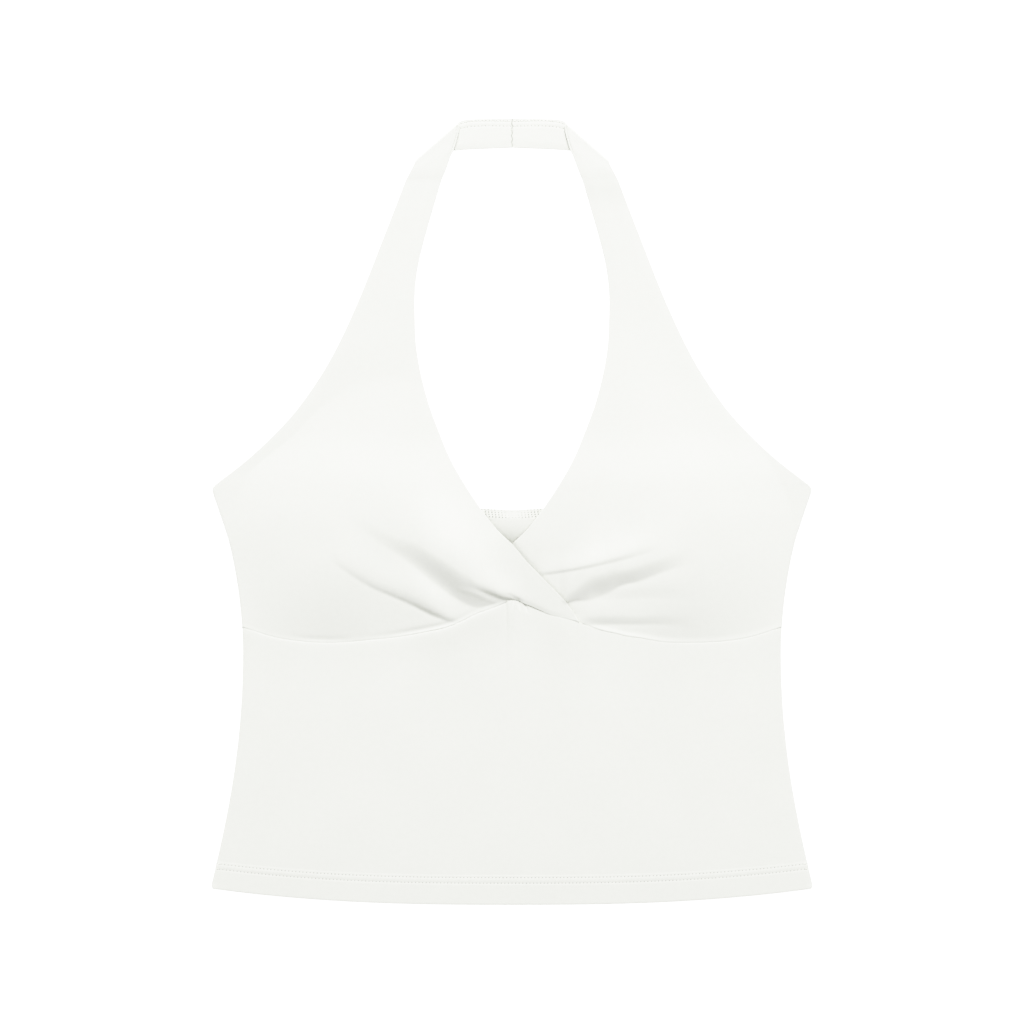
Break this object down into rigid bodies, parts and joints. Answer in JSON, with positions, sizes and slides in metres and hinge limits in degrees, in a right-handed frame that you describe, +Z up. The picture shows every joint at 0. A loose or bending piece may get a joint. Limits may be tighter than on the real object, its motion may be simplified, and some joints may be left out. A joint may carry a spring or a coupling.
{
  "type": "halter neck top",
  "caption": "Sleeveless white jersey halter neck top with wrap-over gathered cups, a plain midriff, a low back and a narrow band behind the neck, lying flat on its back.",
  "frame": {"origin": "bottom centre of the bounding box: the surface that the top lies on, half way between the hem and the back of the neck", "axes": "+Y from the hem towards the neck, +Z up from the surface, +X towards the wearer's left side, which is the picture's right"},
  "size_m": [0.4216, 0.55, 0.0153],
  "materials": {
    "jersey": "matt, smooth, fine jersey knit"
  },
  "bodies": {
    "root": {"back_panel": "jersey", "front_panel": "jersey", "under_cup": "jersey", "over_cup": "jersey"}
  },
  "joints": []
}
